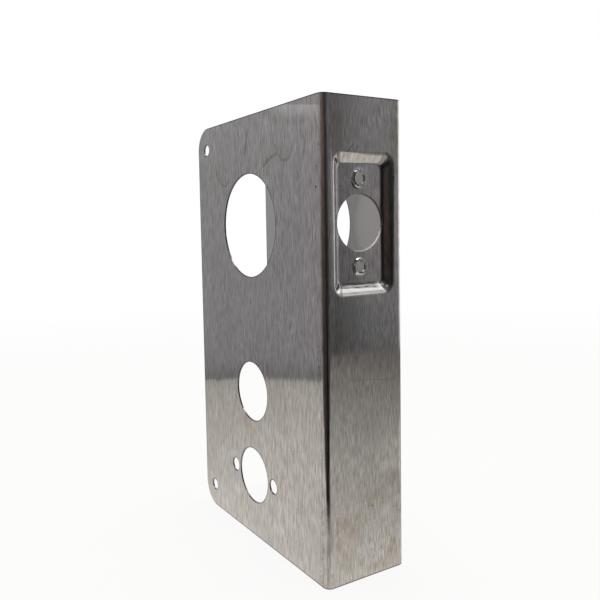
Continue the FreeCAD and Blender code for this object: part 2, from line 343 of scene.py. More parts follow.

# Colours of the marks, of the painted highlights and of the painted glints, and tones against the bare
# steel
STAIN_TINT = (0.48, 0.30, 0.08)
RIM_TINT = (0.1, 0.1, 0.16)
LIT_COLOUR = (1.0, 0.97, 0.92, 1.0)
GLINT_COLOUR = (1.0, 0.80, 0.60, 1.0)
PAINTED_SHEEN_STRENGTH = 0.36
INNER_TONE = 1.02
# Painted highlight on the lower end of the recess
PAINTED_HIGHLIGHT_TONE = 1.35

# Places in metres where a tone starts, is full, ends and is gone
SHEEN_HEIGHTS = (0.2262, 0.2336, 0.2336, 0.2342)
SHEEN_SLANT = -0.174
RECESS_HEIGHTS = (0.136, 0.146, 0.194, 0.204)
LOWER_WALL_HEIGHTS = (0.1370, 0.1374, 0.1425, 0.1428)
# Height of the painted dark line on the lower end of the recess
PAINTED_DARK_LINE_HEIGHT = 0.1403
# Where the painted shade on the bend of the recess floor lies
DARK_BEND_STEPS = (0.0122, 0.0131, 0.0138, 0.0145)
DARK_BEND_HEIGHTS = (0.1425, 0.1445, 0.197, 0.199)
SCUFF_DEPTHS = (-0.0612, -0.0600, -0.0585, -0.0570)
SCUFF_HEIGHTS = (0.092, 0.100, 0.112, 0.120)
SEAM_DEPTH = -0.0603


def mark_place(face, place):
    """A mark's place on the outside of the near flange or of the edge wall, in metres."""
    across, height = place
    if face == "flange":
        return (LEFT_FACE, across / 1000, height / 1000)
    return (across / 1000, EDGE_FACE, height / 1000)


def hole_rims():
    """Centre, radius and face of each hole that the camera sees, from the record's mounts."""
    rims = []
    for mount in frame["record"]["mounts"]:
        centre = Vector(mount["pos_m"])
        sizes = mount["dims"]
        if mount["kind"] == "flat_face" or mount["name"].endswith("_right"):
            continue
        edge = mount["name"].startswith("latch")
        radius = sizes.get("r_mm", sizes.get("hole_r_mm")) / 1000
        steps = [Vector((0.0, 0.0, 0.0))]
        if "spacing_x_mm" in sizes:
            step = Vector((0.0, sizes["spacing_x_mm"] / 2000, 0.0))
            steps = [step, -step]
        if "spacing_y_mm" in sizes:
            step = Vector((0.0, 0.0, sizes["spacing_y_mm"] / 2000))
            steps = [step, -step]
        for step in steps:
            rims.append((mount["name"], centre + step, radius, "edge" if edge else "flange"))
    return rims


def dim(build, colour, mask, strength, tint=(0.0, 0.0, 0.0)):
    """The colour multiplied by a tint, as far as the mask and its strength say."""
    factor = build.math("MINIMUM", build.math("MULTIPLY", mask, strength), 1.0)
    return build.mix(factor, colour, (*tint, 1.0), "MULTIPLY")


def gather(build, total, mask, strength=1.0):
    """The larger of a running mask and one more mask times its strength."""
    return build.math("MAXIMUM", total, build.math("MULTIPLY", mask, strength))


def all_of(build, first, *others):
    """The product of several masks."""
    for other in others:
        first = build.math("MULTIPLY", first, other)
    return first


def between(build, value, places):
    """A mask that rises from the first place to the second and falls from the third to the fourth."""
    start, full, end, gone = places
    return build.math("MULTIPLY", build.ramp(value, start, full, 0.0, 1.0),
                      build.ramp(value, end, gone, 1.0, 0.0))


def spot_mask(build, place, centre, size, softness, ragged, scale):
    return place_group(build, "soft_spot", {
        "Vector": place, "Centre": centre, "Size": size, "Softness": softness,
        "Ragged": ragged, "Scale": scale})["Value"]


def speck_mask(build, place, face, spot, radius, ragged):
    return spot_mask(build, place, mark_place(face, spot), (radius, radius, radius), 0.5, ragged,
                     SPECK_RAGGED_SCALE)


def find_places(build):
    """Object coordinates and the masks that tell the sides of the plate apart."""
    place = build.add("ShaderNodeTexCoord").outputs["Object"]
    x, y, z = build.split(place)
    sideways = build.math("ABSOLUTE", x)
    on_edge = build.ramp(y, EDGE_FACE + 0.0050, EDGE_FACE + 0.0036, 0.0, 1.0)
    wall = build.math("MULTIPLY", build.ramp(y, EDGE_FACE + 0.0045, EDGE_FACE + 0.0042, 0.0, 1.0),
                      build.ramp(sideways, 0.0203, 0.0205, 1.0, 0.0))
    outer = build.ramp(x, LEFT_FACE + 0.0002, LEFT_FACE + 0.0004, 1.0, 0.0)
    inner = build.math("MULTIPLY", build.ramp(sideways, 0.02335, 0.02345, 1.0, 0.0),
                       build.ramp(y, -0.058, -0.056, 0.0, 1.0))
    return SimpleNamespace(place=place, x=x, y=y, z=z, on_edge=on_edge, wall=wall, outer=outer,
                           inner=inner)


def brush_steel(build, at, settings):
    """The tones of the grain, its streaks and its broad bands; gives the streaks as well."""
    lay = build.join(at.x, build.math("MULTIPLY", at.y, build.math("SUBTRACT", 1.0, at.wall)), at.z)
    fine, streaks, bands = [place_group(build, "brushed_grain", {
        "Vector": lay, "Line Width": width, "Line Length": length, "Detail": detail,
        "Shift": shift})["Value"] for width, length, detail, shift in (
            (settings.grain_width, settings.grain_length, 3.0, 3.0),
            (0.0012, 0.016, 2.0, 17.0),
            (0.004, 0.09, 1.0, 31.0))]
    cloud = build.noise(at.place, 60.0, 3.0, 0.6)
    depth = build.ramp(cloud, 0.3, 0.7, 0.7, 1.3)
    tone = build.math("MULTIPLY", build.ramp(fine, 0.2, 0.8, -settings.grain_contrast,
                                             settings.grain_contrast), depth)
    coarse = build.math("MULTIPLY_ADD", at.wall, 0.01, 0.04)
    coarse = build.math("MULTIPLY", build.ramp(streaks, 0.25, 0.75, -1.0, 1.0), coarse)
    tone = build.math("ADD", tone, coarse)
    broad = build.math("MULTIPLY_ADD", at.wall, 0.03, 0.015)
    broad = build.math("MULTIPLY", build.ramp(bands, 0.3, 0.7, -1.0, 1.0), broad)
    tone = build.math("ADD", tone, broad)
    return build.math("ADD", tone, build.ramp(cloud, 0.3, 0.7, 0.98, 1.02)), streaks


def shade_areas(build, at, tone):
    """The tones of whole areas: a painted sheen, painted highlight and shade on the sides and lower end of
    the recess, and the inner side.
    """
    # Painted sheen: a light band just under the top of the flange, the painted reflection of a ceiling
    # line, cut off along a slanting line
    slant = build.math("MULTIPLY_ADD", at.y, SHEEN_SLANT, at.z)
    painted_sheen = all_of(build, between(build, slant, SHEEN_HEIGHTS),
                   build.ramp(at.y, -0.030, -0.018, 1.0, 0.0), at.outer)
    tone = build.math("MULTIPLY_ADD", painted_sheen, PAINTED_SHEEN_STRENGTH, tone)

    # Painted highlight and shade in soft light and dark bands along the sides of the recess
    shade = 1.0
    for *steps, strength in PAINTED_SIDE_LIGHT_AND_SHADE:
        side = between(build, at.x, [step / 1000 for step in steps])
        shade = build.math("MULTIPLY_ADD", side, strength, shade)
    beside_recess = all_of(build, between(build, at.z, RECESS_HEIGHTS), at.on_edge)
    shade = build.math("MULTIPLY_ADD", build.math("SUBTRACT", shade, 1.0), beside_recess, 1.0)
    tone = build.math("MULTIPLY", tone, shade)

    # The sheet's inner side is a little cleaner
    tone = build.math("ADD", build.math("MULTIPLY", tone, build.math("MULTIPLY_ADD", at.inner, -0.8, 1.0)),
                      build.math("MULTIPLY", at.inner, INNER_TONE))

    # Painted reflection on the lower end of the recess: streaks of painted highlight and shade along its
    # bend, and a painted dark line
    lower = all_of(build, between(build, at.z, LOWER_WALL_HEIGHTS), at.wall,
                   build.ramp(at.y, EDGE_FACE + 0.0002, EDGE_FACE + 0.0005, 0.0, 1.0))
    ripple = build.noise(build.vector("MULTIPLY", at.place, (260.0, 900.0, 2200.0)), 1.0, 3.0, 0.6)
    upper = build.ramp(build.math("MULTIPLY_ADD", at.x, 0.03, at.z), 0.1397, 0.1402, 0.0, 1.0)
    upper = build.math("MULTIPLY", upper, build.ramp(at.x, 0.0075, 0.0115, 1.0, 0.0))
    shine = build.math("MULTIPLY_ADD", upper, -0.70, PAINTED_HIGHLIGHT_TONE)
    shine = build.math("MULTIPLY_ADD", build.ramp(at.z, 0.1383, 0.1388, 1.0, 0.0), -0.60, shine)
    painted_dark_line = build.math("ABSOLUTE", build.math("SUBTRACT", at.z, PAINTED_DARK_LINE_HEIGHT))
    painted_dark_line = build.math("MULTIPLY", build.ramp(painted_dark_line, 0.0001, 0.0004, 1.0, 0.0), upper)
    shine = build.math("MULTIPLY_ADD", painted_dark_line, -0.35, shine)
    rippled = build.math("MULTIPLY", build.ramp(ripple, 0.3, 0.7, -0.35, 0.35),
                         build.math("MULTIPLY_ADD", upper, 0.6, 0.4))
    shine = build.math("ADD", shine, rippled)
    return build.math("ADD", build.math("MULTIPLY", tone, build.math("SUBTRACT", 1.0, lower)),
                      build.math("MULTIPLY", lower, shine))


def add_marks(build, at, colour):
    """Stains, run marks, scratches, specks and fine dirt."""
    browned = 0.0
    for face, spot, half, strength, ragged, soft in STAINS:
        size = mark_place(face, half)
        size = (MARK_DEPTH, *size[1:]) if face == "flange" else (size[0], MARK_DEPTH, size[2])
        mask = spot_mask(build, at.place, mark_place(face, spot), size, soft, ragged, 260.0)
        browned = gather(build, browned, mask, strength)
    haze = all_of(build, build.ramp(build.noise(at.place, 130.0, 5.0, 0.65), 0.48, 0.62), at.on_edge,
                  build.ramp(at.z, 0.060, 0.030, 0.0, 0.14))
    browned = gather(build, browned, haze)
    colour = dim(build, colour, browned, STAIN_DEPTH, STAIN_TINT)
    darkened = 0.0
    for face, strength, half, fade, route in LINES:
        for first, second in zip(route[:-1], route[1:]):
            mask = place_group(build, "thin_line", {
                "Vector": at.place, "Start": mark_place(face, first),
                "End": mark_place(face, second), "Width": half * LINE_SPREAD,
                "End Fade": fade if len(route) == 2 else 0.0})["Value"]
            darkened = gather(build, darkened, mask, LINE_DEPTH * strength)
    for face, spot, radius, strength in SPECKS:
        if strength > 0:
            mask = speck_mask(build, at.place, face, spot, radius * SPECK_SPREAD, 0.6)
            darkened = gather(build, darkened, mask, SPECK_DEPTH * strength)
    colour = dim(build, colour, darkened, 1.0)

    # Small pits on the lower part of the edge wall and scuffs beside the near fold
    pits = all_of(build, at.on_edge, build.ramp(at.z, 0.075, 0.02, 0.0, 1.0),
                  build.ramp(build.noise(at.place, 1400.0, 1.0, 0.5), 0.64, 0.74))
    ends = build.math("MAXIMUM", build.ramp(at.z, 0.018, 0.042, 1.0, 0.0),
                      between(build, at.z, SCUFF_HEIGHTS))
    scuffs = all_of(build, between(build, at.y, SCUFF_DEPTHS), ends, at.outer,
                    build.ramp(build.noise(at.place, 900.0, 3.0, 0.7), 0.45, 0.62))
    colour = dim(build, colour, build.math("MAXIMUM", pits, scuffs), 0.30)
    seam = build.math("ABSOLUTE", build.math("SUBTRACT", at.y, SEAM_DEPTH))
    seam = all_of(build, build.ramp(seam, 0.0001, 0.0004, 1.0, 0.0),
                  build.ramp(at.z, 0.105, 0.075, 0.25, 1.0), build.ramp(at.x, 0.0, -0.001, 0.0, 1.0),
                  build.ramp(build.noise(at.place, 500.0, 2.0, 0.6), 0.35, 0.6))
    return dim(build, colour, seam, 0.42)


def darken_cuts(build, at, colour, settings):
    """Darker lines where the sheet is cut: round its holes and along its free edges."""
    rims = 0.0
    for name, centre, radius, face in hole_rims():
        if face == "flange":
            rims = gather(build, rims, place_group(build, "round_line", {
                "Vector": at.place, "Centre": tuple(centre), "Face": (0.0, 1.0, 1.0),
                "Radius": radius, "Width": 0.0006})["Value"])
    for value, inside, edge in ((at.z, PLATE_HIGH.z - 0.0007, PLATE_HIGH.z - 0.0003),
                                (at.z, 0.0007, 0.0003),
                                (at.y, PLATE_HIGH.y - 0.0007, PLATE_HIGH.y - 0.0003)):
        rims = gather(build, rims, build.ramp(value, inside, edge, 0.0, 1.0))
    return dim(build, colour, rims, settings.rim_strength, RIM_TINT)


def light_recess(build, at, colour):
    """Painted light and shade of the recess: arcs of painted highlight and shade round its holes, painted
    shade in the screw bores and painted glints; gives the colour, its painted shade mask and the mask
    where the steel is not metal.
    """
    # Painted glints in the lower right corner of the recess
    glints = 0.0
    flat = build.vector("MULTIPLY", at.place, (1.0, 0.0, 1.0))
    for (side, height), radius, strength in GLINTS:
        size = (radius / 1000, 1.0, radius / 1000)
        mask = spot_mask(build, flat, (side / 1000, 0.0, height / 1000), size, 0.7, 0.6, 1500.0)
        glints = gather(build, glints, mask, strength)
    glints = build.math("MULTIPLY", glints, at.on_edge)

    painted_dark = 0.0
    lit = 0.0
    # Painted shade where the strength is positive, painted highlight where it is negative
    for height, radius, half, turn, span, strength in ARCS:
        turn = math.radians(turn)
        mask = place_group(build, "round_line", {
            "Vector": at.place, "Centre": (0.0, 0.0, height / 1000), "Face": (1.0, 0.0, 1.0),
            "Radius": radius / 1000, "Width": half / 1000,
            "Side": (math.cos(turn), 0.0, math.sin(turn)),
            "Span": math.cos(math.radians(span))})["Value"]
        if strength > 0:
            painted_dark = gather(build, painted_dark, mask, strength)
        else:
            lit = gather(build, lit, mask, -strength)
    # Painted shade inside the bores of the latch screws
    for name, centre, radius, face in hole_rims():
        if name == "latch_screws":
            hollow = build.vector("LENGTH", build.vector("MULTIPLY", build.vector(
                "SUBTRACT", at.place, tuple(centre)), (1.0, 0.0, 1.0)))
            bore = build.ramp(hollow, radius + 0.00005, radius + 0.0002, 1.0, 0.0)
            painted_dark = gather(build, painted_dark, bore, 0.97)
    front = build.ramp(at.y, EDGE_FACE + 0.0041, EDGE_FACE + 0.0044, 1.0, 0.0)
    painted_dark = build.math("MULTIPLY", painted_dark, front)
    colour = dim(build, colour, painted_dark, 1.0)
    lit = build.math("MULTIPLY", lit, front)
    colour = build.mix(lit, colour, LIT_COLOUR)
    colour = build.mix(glints, colour, GLINT_COLOUR)

    # Painted shade: the floor's bend is darkened along the side away from the camera
    right = all_of(build, between(build, at.x, DARK_BEND_STEPS),
                   between(build, at.z, DARK_BEND_HEIGHTS), at.on_edge)
    colour = dim(build, colour, right, 0.6)
    # The steel is not metallic where light and shade are painted, so that the painted colour shows
    bare = build.math("MAXIMUM", glints, build.math("MULTIPLY", lit, 0.8))
    return colour, painted_dark, build.math("MAXIMUM", painted_dark, bare)


def make_steel():
    """Brushed stainless steel with its grain, streaks and marks, and painted light and shade."""
    settings = bpy.context.scene.door_plate_steel
    for maker in GROUP_MAKERS:
        maker()
    material = bpy.data.materials.new("brushed_stainless")
    material.use_nodes = True
    tree = material.node_tree
    tree.nodes.clear()
    build = NodeBuilder(tree)
    output = build.add("ShaderNodeOutputMaterial")
    steel = build.add("ShaderNodeBsdfPrincipled")
    steel.inputs["Anisotropic"].default_value = settings.anisotropy
    build.feed(output.inputs[0], steel.outputs[0])

    at = find_places(build)
    tone, streaks = brush_steel(build, at, settings)
    tone = shade_areas(build, at, tone)
    colour = build.vector("MULTIPLY", tuple(settings.colour[:3]), build.join(tone, tone, tone))
    colour = add_marks(build, at, colour)
    colour = darken_cuts(build, at, colour, settings)
    colour, painted_dark, bare = light_recess(build, at, colour)
    # Painted light and shade show as plain colour: less metal and less gloss there
    build.feed(steel.inputs["Metallic"], build.math("SUBTRACT", 1.0, bare))
    build.feed(steel.inputs["Specular IOR Level"], build.math("MULTIPLY_ADD", painted_dark, -0.48, 0.5))

    bright = 0.0
    for face, spot, radius, strength in SPECKS:
        if strength < 0:
            mask = speck_mask(build, at.place, face, spot, radius / 1000, 0.4)
            bright = gather(build, bright, mask, -strength)
    colour = build.mix(bright, colour, (1.0, 1.0, 1.0, 1.0))
    build.feed(steel.inputs["Base Color"], colour)
    build.feed(steel.inputs["Roughness"], build.ramp(streaks, 0.2, 0.8, settings.roughness * 0.9,
                                                     settings.roughness * 1.1))

    grain_bump = build.add("ShaderNodeBump")
    grain_bump.inputs["Strength"].default_value = 1.0
    grain_bump.inputs["Distance"].default_value = settings.grain_depth
    build.feed(grain_bump.inputs["Height"], streaks)
    wave_bump = build.add("ShaderNodeBump")
    wave_bump.inputs["Distance"].default_value = settings.wave_depth
    build.feed(wave_bump.inputs["Height"], build.noise(at.place, 22.0, 1.0, 0.4))
    build.feed(grain_bump.inputs["Normal"], wave_bump.outputs[0])
    build.feed(steel.inputs["Normal"], grain_bump.outputs[0])
    return material


def dressed_copy(node_name, name, sharp_angle):
    """A merged copy of a CAD node, smooth over its bends and crisp at its cut edges."""
    source = frame["nodes"][node_name]
    mesh = source.data.copy()
    mesh.name = name
    work = bmesh.new()
    work.from_mesh(mesh)
    bmesh.ops.remove_doubles(work, verts=work.verts, dist=1e-6)
    bmesh.ops.dissolve_degenerate(work, edges=work.edges, dist=1e-7)
    for face in work.faces:
        face.smooth = True
    work.to_mesh(mesh)
    work.free()
    mesh.set_sharp_from_angle(angle=sharp_angle)
    piece = bpy.data.objects.new(name, mesh)
    bpy.context.scene.collection.objects.link(piece)
    weigh = piece.modifiers.new("even_shading", "WEIGHTED_NORMAL")
    weigh.mode = "FACE_AREA"
    weigh.weight = 100
    weigh.keep_sharp = True
    baked = bpy.data.meshes.new_from_object(piece.evaluated_get(bpy.context.evaluated_depsgraph_get()))
    piece.modifiers.clear()
    piece.data = baked
    baked.name = name
    bpy.data.meshes.remove(mesh)
    return piece


class DOORPLATE_OT_dress_plate(bpy.types.Operator):
    """Make the folded plate and give it brushed stainless steel"""
    bl_idname = "door_plate.dress_plate"
    bl_label = "Dress the Folded Plate"

    def execute(self, context):
        piece = dressed_copy("wrap_plate", "folded_plate", math.radians(32))
        piece.data.materials.clear()
        piece.data.materials.append(make_steel())
        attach(piece, "root")
        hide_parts("wrap_plate")
        return {"FINISHED"}


# The stage: floor, surround, lamps, world and camera

# Each station of the surround: azimuth to the right of -Y in degrees, distance from the near
# fold in metres, tint, and its grey level at each of the heights below.
NEUTRAL = (1.0, 0.99, 1.0)
BROWN = (1.0, 0.72, 0.64)
SURROUND_HEIGHTS = (0.0, 0.010, 0.025, 0.08, 0.16, 0.22, 0.30, 0.60)
SURROUND_STATIONS = (
    (-215, 0.50, NEUTRAL, (0.21, 0.26, 0.31, 0.34, 0.35, 0.37, 0.42, 0.60)),
    (-161, 0.446, NEUTRAL, (0.21, 0.26, 0.31, 0.34, 0.35, 0.37, 0.42, 0.60)),
    (-153, 0.436, NEUTRAL, (0.20, 0.25, 0.31, 0.33, 0.34, 0.36, 0.40, 0.60)),
    (-145, 0.420, NEUTRAL, (0.22, 0.27, 0.32, 0.33, 0.34, 0.36, 0.40, 0.60)),
    (-120, 0.430, NEUTRAL, (0.23, 0.28, 0.31, 0.32, 0.34, 0.36, 0.40, 0.55)),
    (-100, 0.437, NEUTRAL, (0.23, 0.26, 0.29, 0.30, 0.31, 0.33, 0.36, 0.50)),
    (-86, 0.25, NEUTRAL, (0.10, 0.13, 0.15, 0.16, 0.17, 0.30, 0.34, 0.40)),
    (-74, 0.15, BROWN, (0.20, 0.16, 0.12, 0.07, 0.10, 0.26, 0.30, 0.35)),
    (-60, 0.100, BROWN, (0.12, 0.10, 0.08, 0.06, 0.10, 0.18, 0.22, 0.30)),
    (-44, 0.088, BROWN, (0.02, 0.02, 0.03, 0.055, 0.09, 0.16, 0.18, 0.20)),
    (-34, 0.100, BROWN, (0.01, 0.02, 0.02, 0.045, 0.07, 0.14, 0.16, 0.18)),
    (-24, 0.116, BROWN, (0.01, 0.01, 0.02, 0.035, 0.080, 0.105, 0.11, 0.12)),
    (-18, 0.132, NEUTRAL, (0.01, 0.01, 0.01, 0.012, 0.018, 0.035, 0.05, 0.10)),
    (-10, 0.155, NEUTRAL, (0.01, 0.01, 0.01, 0.010, 0.015, 0.03, 0.05, 0.10)),
    (0, 0.185, NEUTRAL, (0.07, 0.07, 0.06, 0.045, 0.025, 0.04, 0.07, 0.12)),
    (16, 0.296, NEUTRAL, (0.12, 0.12, 0.10, 0.075, 0.07, 0.08, 0.10, 0.15)),
    (34, 0.50, NEUTRAL, (0.08, 0.08, 0.09, 0.09, 0.11, 0.13, 0.14, 0.18)),
    (38, 0.585, NEUTRAL, (0.09, 0.09, 0.10, 0.11, 0.14, 0.15, 0.15, 0.20)),
    (42, 0.60, NEUTRAL, (0.16, 0.18, 0.20, 0.24, 0.30, 0.29, 0.30, 0.35)),
    (48, 0.61, NEUTRAL, (0.17, 0.19, 0.21, 0.28, 0.32, 0.27, 0.26, 0.35)),
    (60, 0.62, NEUTRAL, (0.28, 0.30, 0.32, 0.34, 0.36, 0.36, 0.36, 0.40)),
    (75, 0.65, NEUTRAL, (0.45, 0.47, 0.50, 0.55, 0.60, 0.60, 0.60, 0.60)),
    (85, 0.65, NEUTRAL, (0.60, 0.65, 0.90, 1.30, 1.60, 1.60, 1.40, 0.90)),
    (100, 0.65, NEUTRAL, (0.60, 0.65, 0.80, 1.10, 1.30, 1.30, 1.10, 0.80)),
    (125, 0.60, NEUTRAL, (0.60, 0.62, 0.65, 0.70, 0.70, 0.70, 0.70, 0.75)),
    (145, 0.50, NEUTRAL, (0.55, 0.60, 0.65, 0.70, 0.70, 0.70, 0.70, 0.75)),
)


# The floor as the steel mirrors it: how its light falls off, the glow round the plate's foot, a
# brighter pool to the right, and the dark sector before the near fold, in degrees from -Y
FLOOR_FALL = -1.13
FOOT_GLOW = 0.22
FOOT_GLOW_REACH = 0.07
POOL_CENTRE = (0.20, -0.14, 0.0)
POOL_GLOW = 0.32
DARK_SECTOR = (-72, -45, -18, 10)
FLOOR_HALF = 4.0
FLOOR_DROP = 0.0002


def light_path(build):
    return build.add("ShaderNodeLightPath").outputs


def new_stage_material(name):
    material = bpy.data.materials.new(name)
    material.use_nodes = True
    material.node_tree.nodes.clear()
    build = NodeBuilder(material.node_tree)
    return material, build, build.add("ShaderNodeOutputMaterial")


def stage_object(name, vertices, faces, material):
    mesh = bpy.data.meshes.new(name)
    mesh.from_pydata(vertices, [], faces)
    mesh.materials.append(material)
    item = bpy.data.objects.new(name, mesh)
    bpy.context.scene.collection.objects.link(item)
    return item


def make_floor(settings):
    """A pale floor that shows white to the camera and a painted glow to the steel, and keeps a soft
    shadow.
    """
    material, build, output = new_stage_material("studio_floor")
    rays = light_path(build)
    white = build.add("ShaderNodeEmission")
    white.inputs["Strength"].default_value = 1.0
    plain = build.add("ShaderNodeBsdfDiffuse")
    plain.inputs["Color"].default_value = (*settings.floor_colour, 1.0)
    place = build.add("ShaderNodeTexCoord").outputs["Object"]
    far = build.ramp(build.vector("LENGTH", place), 0.25, 1.2, settings.floor_white, 1.0)
    seen = build.math("MULTIPLY", rays["Is Camera Ray"], far)
    through = build.math("MULTIPLY", rays["Is Transmission Ray"], far)
    mix = build.add("ShaderNodeMixShader")
    build.feed(mix.inputs[0], build.math("MAXIMUM", seen, through))
    build.feed(mix.inputs[1], plain.outputs[0])
    build.feed(mix.inputs[2], white.outputs[0])

    # What the steel mirrors of the floor: a painted glow that falls off with distance like the light of a
    # soft lamp, a little more beside the plate, and little in front of the near fold
    glow = build.add("ShaderNodeEmission")
    glow.inputs["Color"].default_value = (*settings.mirrored_colour, 1.0)
    away = build.vector("SUBTRACT", place, settings.mirrored_centre)
    spread = build.math("DIVIDE", build.vector("DOT_PRODUCT", away, away), settings.mirrored_reach ** 2)
    fall = build.math("POWER", build.math("ADD", spread, 1.0), FLOOR_FALL)
    foot = build.vector("SUBTRACT", build.vector("ABSOLUTE", place), (-LEFT_FACE, -EDGE_FACE, 0.0))
    beside = build.vector("LENGTH", build.vector("MULTIPLY",
                          build.vector("MAXIMUM", foot, (0.0, 0.0, 0.0)), (1.0, 1.0, 0.0)))
    near = build.math("EXPONENT", build.math("DIVIDE", beside, -FOOT_GLOW_REACH))
    near = build.math("MULTIPLY", near, FOOT_GLOW)
    level = build.math("MULTIPLY_ADD", fall, settings.mirrored_level, near)
    pool = build.ramp(build.vector("DISTANCE", place, POOL_CENTRE), 0.03, 0.11, POOL_GLOW, 0.0)
    level = build.math("ADD", level, pool)
    step = build.vector("SUBTRACT", place, (LEFT_FACE, EDGE_FACE, 0.0))
    across, forward, _ = build.split(step)
    turn = build.math("ARCTAN2", across, build.math("MULTIPLY", forward, -1.0))
    sector = between(build, turn, [math.radians(side) for side in DARK_SECTOR])
    depth = build.ramp(build.vector("LENGTH", step), 0.03, 0.105, 0.25, 0.97)
    level = build.math("MULTIPLY", level, build.math("SUBTRACT", 1.0,
                       build.math("MULTIPLY", sector, depth)))
    build.feed(glow.inputs["Strength"], level)
    final = build.add("ShaderNodeMixShader")
    build.feed(final.inputs[0], rays["Is Glossy Ray"])
    build.feed(final.inputs[1], mix.outputs[0])
    build.feed(final.inputs[2], glow.outputs[0])
    build.feed(output.inputs[0], final.outputs[0])
    corners = [(side * FLOOR_HALF, depth * FLOOR_HALF, -FLOOR_DROP)
               for side, depth in ((-1, -1), (1, -1), (1, 1), (-1, 1))]
    return stage_object("studio_floor", corners, [(0, 1, 2, 3)], material)


def make_surround(settings):
    """A soft grey surround that only the steel mirrors, darker on the side of the camera."""
    material, build, output = new_stage_material("studio_surround")
    glow = build.add("ShaderNodeEmission")
    tone = build.add("ShaderNodeAttribute", attribute_name="tone", attribute_type="GEOMETRY")
    build.feed(glow.inputs["Color"], tone.outputs["Color"])
    glow.inputs["Strength"].default_value = settings.surround_level
    build.feed(output.inputs[0], glow.outputs[0])

    stations = np.array([(s[0], s[1]) for s in SURROUND_STATIONS])
    tones = np.array([np.outer(s[3], s[2]) for s in SURROUND_STATIONS])
    turns = np.arange(-215, 146, 1)
    centre = Vector((LEFT_FACE, EDGE_FACE, 0.0))
    vertices = []
    colours = []
    for turn in turns:
        distance = float(np.interp(turn, stations[:, 0], stations[:, 1]))
        angle = math.radians(float(turn))
        for row, height in enumerate(SURROUND_HEIGHTS):
            spot = centre + Vector((math.sin(angle), -math.cos(angle), 0.0)) * distance
            vertices.append((spot.x, spot.y, height))
            colours.append([float(np.interp(turn, stations[:, 0], tones[:, row, c])) for c in range(3)])
    rows = len(SURROUND_HEIGHTS)
    faces = []
    for column in range(len(turns) - 1):
        for row in range(rows - 1):
            start = column * rows + row
            faces.append((start, start + rows, start + rows + 1, start + 1))
    item = stage_object("studio_surround", vertices, faces, material)
    attribute = item.data.color_attributes.new("tone", "FLOAT_COLOR", "POINT")
    for place, colour in zip(attribute.data, colours):
        place.color = (*colour, 1.0)
    item.visible_camera = False
    item.visible_diffuse = False
    item.visible_shadow = False
    item.visible_transmission = False
    return item


def make_world(settings):
    """A white world to the camera and the steel, and a plain grey light for the rest."""
    world = bpy.data.worlds.new("studio_world")
    bpy.context.scene.world = world
    world.use_nodes = True
    world.node_tree.nodes.clear()
    build = NodeBuilder(world.node_tree)
    output = build.add("ShaderNodeOutputWorld")
    rays = light_path(build)
    white = build.add("ShaderNodeBackground")
    white.inputs["Color"].default_value = (1.0, 1.0, 1.0, 1.0)
    white.inputs["Strength"].default_value = 1.0
    ambient = build.add("ShaderNodeBackground")
    ambient.inputs["Color"].default_value = (1.0, 1.0, 1.0, 1.0)
    ambient.inputs["Strength"].default_value = settings.ambient
    share = build.math("MAXIMUM", rays["Is Camera Ray"],
                       build.math("MAXIMUM", rays["Is Glossy Ray"], rays["Is Transmission Ray"]))
    mix = build.add("ShaderNodeMixShader")
    build.feed(mix.inputs[0], share)
    build.feed(mix.inputs[1], ambient.outputs[0])
    build.feed(mix.inputs[2], white.outputs[0])
    build.feed(output.inputs[0], mix.outputs[0])


def make_lamp(name, place, aim, size, power, colour):
    lamp = bpy.data.lights.new(name, "AREA")
    lamp.shape = "RECTANGLE"
    lamp.size, lamp.size_y = size
    lamp.energy = power
    lamp.color = colour
    item = bpy.data.objects.new(name, lamp)
    item.location = place
    item.rotation_euler = (Vector(aim) - Vector(place)).to_track_quat("-Z", "Y").to_euler()
    bpy.context.scene.collection.objects.link(item)
    return item


def make_camera(settings):
    """The photograph's camera: its place, its turn and its slight shift."""
    lens = bpy.data.cameras.new("photo_camera")
    lens.sensor_width = 36.0
    lens.lens = settings.focal_length
    lens.shift_x = settings.shift_x
    lens.shift_y = settings.shift_y
    lens.clip_start = 0.01
    lens.clip_end = 100.0
    camera = bpy.data.objects.new("photo_camera", lens)
    yaw = settings.yaw
    pitch = settings.pitch
    roll = settings.roll
    turned = Matrix.Rotation(yaw, 3, "Z") @ Matrix.Rotation(math.pi / 2 + pitch, 3, "X")
    turned = turned @ Matrix.Rotation(roll, 3, "Z")
    camera.matrix_world = Matrix.Translation(Vector(settings.camera_place)) @ turned.to_4x4()
    bpy.context.scene.collection.objects.link(camera)
    bpy.context.scene.camera = camera


class DOORPLATE_OT_set_stage(bpy.types.Operator):
    """Set the floor, the surround, the lamps, the world and the camera"""
    bl_idname = "door_plate.set_stage"
    bl_label = "Set the Stage"

    def execute(self, context):
        settings = context.scene.door_plate_stage
        make_floor(settings)
        make_surround(settings)
        make_world(settings)
        make_lamp("soft_top", (0.05, 0.05, 1.1), (0.0, 0.0, 0.0), (0.9, 0.9), settings.top_power,
                  (1.0, 0.97, 0.93))
        make_camera(settings)
        context.scene.view_settings.view_transform = "Standard"
        return {"FINISHED"}


